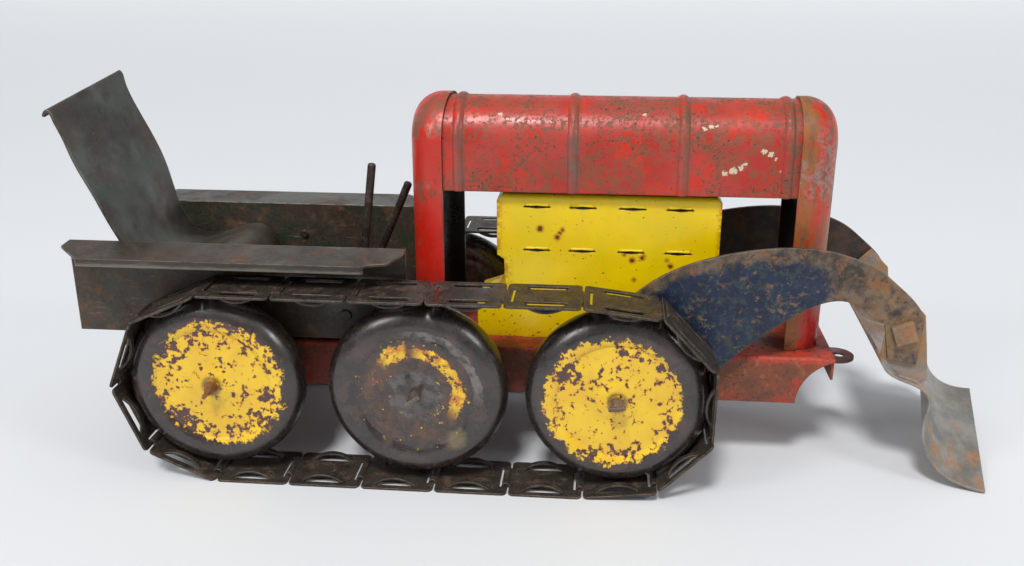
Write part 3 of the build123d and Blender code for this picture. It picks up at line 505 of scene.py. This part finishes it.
def navy_arm(name, painted):
    """Navy enamel kept on the middle of the crescent; rust and bare steel along its borders."""
    f = Finish(name)
    low, high = (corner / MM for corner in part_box(name))
    paint = f.mix(f.rise(f.noise(8, 5, 0.65), 0.38, 0.62), rgb(8, 22, 50), rgb(18, 38, 66))
    bare = f.mix(f.rise(f.noise(6, 5, 0.7, shift=3), 0.36, 0.64), rgb(58, 50, 44), rgb(112, 94, 76))
    bare = f.mix(f.spots(6, 0.58, 0.06, 6, 0.7, shift=9), bare, rgb(128, 86, 54))
    if painted:
        # the crescent's top edge follows a long arc; the border is told from it
        reach = f.distance((mid_x + 148.0, low.y, -2.0))
        wobble = f.times(f.math("SUBTRACT", f.noise(5, 6, 0.74, shift=13), 0.5), 12.0)
        top_border = f.rise(f.plus(reach, wobble), 95.5, 98.5, 1.0, 0.0)
        right_border = f.rise(f.plus(f.x, f.times(wobble, 2.0)), mid_x + 170.0, mid_x + 163.0)
        left_border = f.rise(f.plus(f.x, wobble), mid_x + 76.0, mid_x + 84.0)
        kept = f.times(top_border, right_border, left_border)
        stipple = f.rise(f.noise(1.8, 5, 0.75, shift=2), 0.575, 0.62)
        larger = f.spots(4.0, 0.585, 0.02, 6, 0.72, shift=7)
        moss = f.times(f.spots(3.0, 0.56, 0.04, 5, 0.7, shift=25), 0.55)
        paint = f.mix(moss, paint, rgb(58, 72, 58))
        kept = f.without(kept, f.either(f.times(stipple, 0.85), larger))
        traces = f.times(f.spots(3.4, 0.60, 0.02, 5, 0.7, shift=44), 0.8)
        kept = f.either(kept, traces)
    else:
        # the far arm keeps only spots of dark navy; painted shade darkens its bare steel
        bare = f.mix(0.75, bare, rgb(26, 25, 26))
        kept = f.times(f.spots(7, 0.55, 0.05, 6, 0.7, shift=31), 0.6)
        paint = rgb(24, 28, 40)
    colour = f.mix(kept, bare, paint)
    # rusty tip, painted darker as shade on the far arm
    tan = f.times(f.rise(f.x, high.x - 30, high.x - 8), f.rise(f.noise(8, 5, 0.7, shift=5), 0.40, 0.60))
    colour = f.mix(f.times(tan, 0.8), colour, rgb(146, 114, 78) if painted else rgb(86, 60, 44))
    dark = f.spots(1.6, 0.635, 0.03, 4, 0.7, shift=17)
    colour = f.mix(f.times(dark, 0.7), colour, rgb(44, 34, 30))
    edge = f.edges(0.7)
    bright = f.times(edge, f.rise(f.noise(5, 4, shift=8), 0.34, 0.5))
    colour = f.mix(f.times(bright, 0.8), colour, rgb(140, 122, 102))
    rough = f.blend(kept, f.rise(f.noise(7, 4, 0.6), 0.3, 0.7, 0.50, 0.70), 0.38)
    height = f.plus(f.times(kept, 0.5), f.times(f.noise(1.0, 4, 0.75), 0.5))
    height = f.plus(height, f.times(f.noise(20, 2, shift=6), 2.4))
    return f.finish(colour, rough, f.times(bright, 0.4), height, 0.14, 0.6)


# ------------------------------------------------------------------ wheels

WHEEL_FACE_Y = 58.0         # about where a wheel's outer face stands, from the middle plane


def wheel_steel(name, axle, disc):
    """Dark oxidised wheel.  disc holds the chipped yellow disc's offset, radius and losses, or nothing."""
    f = Finish(name)
    centre = middle_of(axle)
    across = f.math("SUBTRACT", f.x, centre.x)
    above = f.math("SUBTRACT", f.z, centre.z)
    radius = f.math("SQRT", f.plus(f.times(across, across), f.times(above, above)))
    outer = f.rise(f.math("ABSOLUTE", f.y), abs(middle_of("wheel_front_left_inner").y), WHEEL_FACE_Y)
    base = f.mix(f.rise(f.noise(16, 5, 0.62), 0.38, 0.62), rgb(30, 24, 22), rgb(46, 38, 35))
    brown = f.times(f.spots(10, 0.54, 0.07, 6, 0.68, shift=5), f.rise(radius, 36, 27))
    base = f.mix(f.times(brown, 0.75), base, rgb(74, 50, 40))
    dull = f.times(f.spots(8, 0.58, 0.06, 6, 0.7, shift=11), 0.4)
    base = f.mix(dull, base, rgb(66, 58, 54))
    grain = f.rise(f.noise(1.3, 5, 0.75, shift=4), 0.42, 0.70)
    base = f.mix(f.times(grain, 0.16), base, rgb(100, 86, 76))
    ragged = f.times(f.math("SUBTRACT", f.noise(5.0, 6, 0.74, shift=8), 0.5), 15.0)
    if disc:
        move_x, move_z, size, loss_at, losses = disc
        disc_x = f.math("SUBTRACT", across, move_x)
        disc_z = f.math("SUBTRACT", above, move_z)
        disc_radius = f.math("SQRT", f.plus(f.times(disc_x, disc_x), f.times(disc_z, disc_z)))
        rough_radius = f.plus(disc_radius, ragged)
        area = f.rise(rough_radius, size + 0.3, size - 0.3)
        cluster = f.times(f.rise(f.noise(13, 3, shift=13), 0.42, 0.66), 0.07)
        rim_loss = f.times(f.rise(disc_radius, 14, 27), 0.045)
        weak = f.plus(cluster, rim_loss)
        for x, z, reach in losses:
            away = f.distance((centre.x + x, centre.y - WHEEL_FACE_Y, centre.z + z))
            weak = f.plus(weak, f.rise(away, reach + 5.0, reach - 3.0, 0.0, 0.16))
        flakes = f.plus(f.noise(2.6, 5, 0.62, shift=2 + move_x), weak)
        kept = f.without(area, f.rise(flakes, loss_at, loss_at + 0.014))
        halo = f.times(area, f.rise(flakes, loss_at - 0.045, loss_at + 0.005))
        rust_ring = f.times(f.rise(rough_radius, size + 3.5, size), f.spots(4, 0.48, 0.06, 5, 0.7, shift=14))
        colour = f.mix(f.times(f.either(area, f.times(rust_ring, 0.6)), 0.8), base, rgb(76, 42, 30))
    else:
        angle = f.math("ARCTAN2", above, across)
        sector = f.times(f.rise(angle, -0.75, -0.15), f.rise(angle, 1.75, 1.35))
        crescent = f.times(f.band(f.plus(radius, f.times(ragged, 0.55)), 17.6, 2.3, 0.4), sector)
        remains = f.times(f.band(f.plus(radius, ragged), 18.6, 2.6, 0.4), f.rise(angle, 1.70, 1.80),
                          f.rise(angle, 2.5, 2.2))
        crumbs = f.times(f.band(radius, 18, 6, 3), f.spots(2.0, 0.68, 0.01, 3, 0.6, shift=3))
        larger = f.times(f.either(crescent, remains), f.spots(3.0, 0.41, 0.01, 5, 0.65, shift=3))
        kept = f.either(larger, crumbs)
        halo = f.band(f.plus(radius, ragged), 17.0, 3.6, 1.6)
        halo = f.times(halo, f.rise(f.noise(5, 5, 0.7, shift=6), 0.44, 0.58))
        middle = f.rise(f.plus(radius, f.times(ragged, 0.8)), 13.0, 10.0)
        pale = f.times(middle, f.rise(f.noise(5, 6, 0.72, shift=19), 0.40, 0.60))
        base = f.mix(f.times(pale, 0.8), base, rgb(96, 90, 88))
        rust = f.band(f.plus(radius, f.times(ragged, 0.8)), 16.5, 4.5, 2.5)
        rust = f.times(rust, f.rise(angle, 1.2, 2.2, 0.35, 1.0))
        rust = f.times(rust, f.rise(f.noise(4, 6, 0.72, shift=12), 0.38, 0.60))
        base = f.mix(f.times(rust, 0.6), base, rgb(88, 56, 40))
        base = f.mix(f.times(halo, 0.3), base, rgb(124, 76, 32))
        upper_right = f.times(f.rise(angle, -0.2, 0.2), f.rise(angle, 1.9, 1.4))
        ghost = f.times(f.band(f.plus(radius, f.times(ragged, 0.25)), 26.0, 1.6, 0.8), upper_right)
        ghost = f.times(ghost, f.rise(f.noise(5, 5, 0.66, shift=41), 0.36, 0.56))
        base = f.mix(f.times(ghost, 0.75), base, rgb(126, 118, 112))
        olive = f.blot((centre.x + 17, centre.y - WHEEL_FACE_Y, centre.z - 19), 4.0, 1.5, 4.0, 1.5, shift=7)
        base = f.mix(f.times(olive, 0.5), base, rgb(128, 118, 78))
        colour = base
    paint = f.mix(f.rise(f.noise(12, 4), 0.36, 0.64), rgb(240, 196, 0), rgb(230, 182, 0))
    paint = f.mix(halo, paint, rgb(204, 122, 6))
    colour = f.mix(f.times(kept, outer), colour, paint)
    # rust and painted shade standing for a wider axle hole darken the face near the axle
    hub_rust_and_shade = f.times(f.rise(radius, 5.4, 3.4), f.rise(f.noise(3, 4, shift=6), 0.34, 0.5))
    colour = f.mix(f.times(hub_rust_and_shade, 0.75 if disc else 0.4), colour, rgb(58, 36, 26))
    smooth = f.rise(f.noise(9, 5, 0.65, shift=27), 0.36, 0.64, 0.17, 0.32)
    f.shader.inputs["Specular IOR Level"].default_value = 1.0
    rough = f.blend(kept, smooth, 0.34)
    rough = f.blend(f.either(brown, dull), rough, 0.42)
    metal = f.without(f.blend(dull, 0.10, 0.3), f.either(kept, brown))
    height = f.plus(f.times(kept, 0.9), f.times(f.noise(13, 2, shift=6), 2.2))
    height = f.plus(height, f.times(f.noise(1.4, 4, 0.7), 0.25))
    return f.finish(colour, rough, metal, height, 0.14, 0.5)


# ------------------------------------------------------------------ bare steels

def dark_steel(name, dark, light, rust, rust_at=0.56, edge_colour=(138, 122, 106), metal=0.55):
    """Oxidised mild steel: mottled, with rust bloom and rubbed edges."""
    f = Finish(name)
    base = f.mix(f.rise(f.noise(9, 5, 0.65), 0.38, 0.62), rgb(*dark), rgb(*light))
    bloom = f.spots(5.5, rust_at, 0.06, 6, 0.72, shift=7)
    colour = f.mix(f.times(bloom, 0.75), base, rgb(*rust))
    grain = f.rise(f.noise(0.9, 5, 0.75, shift=4), 0.40, 0.70)
    colour = f.mix(f.times(grain, 0.30), colour, rgb(*edge_colour))
    pits = f.spots(1.3, 0.64, 0.03, 4, 0.7, shift=19)
    colour = f.mix(f.times(pits, 0.7), colour, rgb(34, 26, 22))
    edge = f.edges(0.6, 0.03, 0.3)
    bright = f.times(edge, f.rise(f.noise(4, 4, shift=8), 0.36, 0.56))
    colour = f.mix(f.times(bright, 0.7), colour, rgb(*edge_colour))
    rough = f.blend(bloom, f.rise(f.noise(7, 5, 0.65, shift=1), 0.34, 0.66, 0.36, 0.56), 0.74)
    height = f.plus(f.times(f.noise(1.0, 4, 0.75), 0.6), f.times(pits, -0.5))
    height = f.plus(height, f.times(f.noise(12, 2, shift=6), 2.0))
    return f.finish(colour, rough, f.without(metal, bloom), height, 0.12, 0.6)


def scoop_steel():
    f = Finish("scoop_steel")
    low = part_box("scoop")[0] / MM
    base = f.mix(f.rise(f.noise(16, 5, 0.62, (1, 2, 1)), 0.36, 0.64), rgb(124, 119, 112), rgb(158, 153, 145))
    blue = f.times(f.spots(11, 0.55, 0.07, 5, 0.6, shift=5), 0.4)
    base = f.mix(blue, base, rgb(98, 108, 106))
    low_down = f.times(f.rise(f.z, low.z + 26, low.z + 4), f.rise(f.y, 10, -30))
    rust = f.plus(f.noise(10, 6, 0.7, (1, 1.6, 1), 3), f.times(low_down, 0.13))
    orange = f.times(f.rise(rust, 0.58, 0.68), 0.85)
    colour = f.mix(f.times(orange, 0.8), base, rgb(166, 112, 64))
    upper = f.rise(f.z, low.z + 48, low.z + 56)
    tan = f.times(upper, f.rise(f.noise(8, 6, 0.7, shift=9), 0.34, 0.54))
    colour = f.mix(f.times(tan, 0.9), colour, rgb(160, 118, 76))
    shelf = f.times(f.band(f.z, low.z + 43.5, 4, 3), f.spots(10, 0.44, 0.08, 4, 0.6, shift=14))
    colour = f.mix(f.times(shelf, 0.5), colour, rgb(168, 132, 108))
    grain = f.rise(f.noise(1.2, 5, 0.78, shift=4), 0.42, 0.70)
    colour = f.mix(f.times(grain, 0.25), colour, rgb(92, 76, 62))
    scratches = f.spots(0.9, 0.64, 0.03, 3, 0.6, (1.2, 1.6, 16), shift=6)
    colour = f.mix(f.times(scratches, 0.30), colour, rgb(176, 168, 158))
    edge = f.edges(0.8, 0.03, 0.25)
    bright = f.times(edge, f.rise(f.noise(6, 4, shift=8), 0.32, 0.5))
    colour = f.mix(f.times(bright, 0.8), colour, rgb(186, 178, 164))
    rusty = f.either(orange, tan)
    rough = f.blend(rusty, f.rise(f.noise(10, 5, 0.65, shift=1), 0.34, 0.66, 0.34, 0.50), 0.66)
    metal = f.without(0.35, rusty)
    height = f.plus(f.times(f.noise(20, 2, shift=6), 3.0), f.times(f.noise(1.0, 4, 0.75), 0.35))
    return f.finish(colour, rough, metal, height, 0.14, 0.5)


# ------------------------------------------------------------------ paint the CAD nodes

finishes = {
    "hood": red_hood(),
    "rear_cowl": red_cowl("red_rear_cowl", "rear_cowl", False),
    "front_cowl": red_cowl("red_front_cowl", "front_cowl", True),
    "chassis": red_chassis("red_chassis"),
    "tow_tongue": dark_steel("maroon_tongue", (92, 56, 52), (122, 80, 76), (120, 72, 50), 0.6,
                             (150, 120, 108), 0.2),
    "engine_block": yellow_engine(),
    "seat": olive_sheet("olive_seat", 0.60, 0.66, (84, 88, 82), 0.3),
    "tub_floor": olive_sheet("olive_floor"),
    "tub_panel_left": olive_sheet("olive_panel_left", 0.50),
    "tub_panel_right": olive_sheet("olive_panel_right", 0.60),
    "arm_left": navy_arm("arm_left", False),
    "arm_right": navy_arm("arm_right", True),
    "scoop": scoop_steel(),
}
# name, dark and light base, rust and the noise level where it blooms, rubbed edges, bare steel's metallic
rods = dark_steel("rod_steel", (40, 35, 32), (60, 52, 46), (84, 56, 38), 0.60)
bolts = dark_steel("bolt_steel", (122, 98, 76), (150, 126, 100), (148, 96, 56), 0.52, (176, 156, 130), 0.25)
links = dark_steel("link_steel", (36, 30, 27), (60, 50, 43), (80, 54, 40), 0.57, (140, 130, 116), 0.35)
axle_looks = {
    "axle_front": ("front_axle", (96, 74, 58), (134, 106, 84), (120, 74, 44), 0.54, (196, 184, 168), 0.5),
    "axle_middle": ("middle_axle", (74, 64, 56), (112, 100, 88), (104, 66, 42), 0.58, (196, 186, 172), 0.6),
    "axle_rear": ("rear_axle", (110, 66, 34), (146, 90, 46), (150, 78, 30), 0.50, (150, 128, 104), 0.3),
    "axle_spacers": ("spacers", (44, 36, 32), (66, 54, 46), (84, 56, 40), 0.56, (110, 96, 84), 0.4),
}
for name in nodes:
    if name.startswith("track_"):
        finishes[name] = links
    elif name.startswith("axle_"):
        finishes[name] = dark_steel(*axle_looks[name])
    elif name.startswith("scoop_"):
        finishes[name] = bolts
    elif name.startswith("lever") or name == "tub_rivets":
        finishes[name] = rods
# the yellow disc's offset along X and Z, radius, noise level that flakes, and (x, z, reach) of larger losses
wheel_looks = {"front": (-1.9, 0.0, 27.4, 0.640, ((-21, 10, 4), (5, 0, 1), (-9, -24, 2))), "middle": None,
               "rear": (3.0, 1.6, 27.4, 0.618, ((-16, 14, 3), (-14, -16, 5), (22, -4, 2)))}
for axle, look in wheel_looks.items():
    material = wheel_steel(f"wheel_steel_{axle}", f"axle_{axle}", look)
    for name in nodes:
        if name.startswith(f"wheel_{axle}"):
            finishes[name] = material

for name, material in finishes.items():
    mesh = nodes[name].data
    mesh.materials.clear()
    mesh.materials.append(material)

unpainted = sorted(set(nodes) - set(finishes))
if unpainted:
    raise ValueError(f"no finish for {unpainted}")
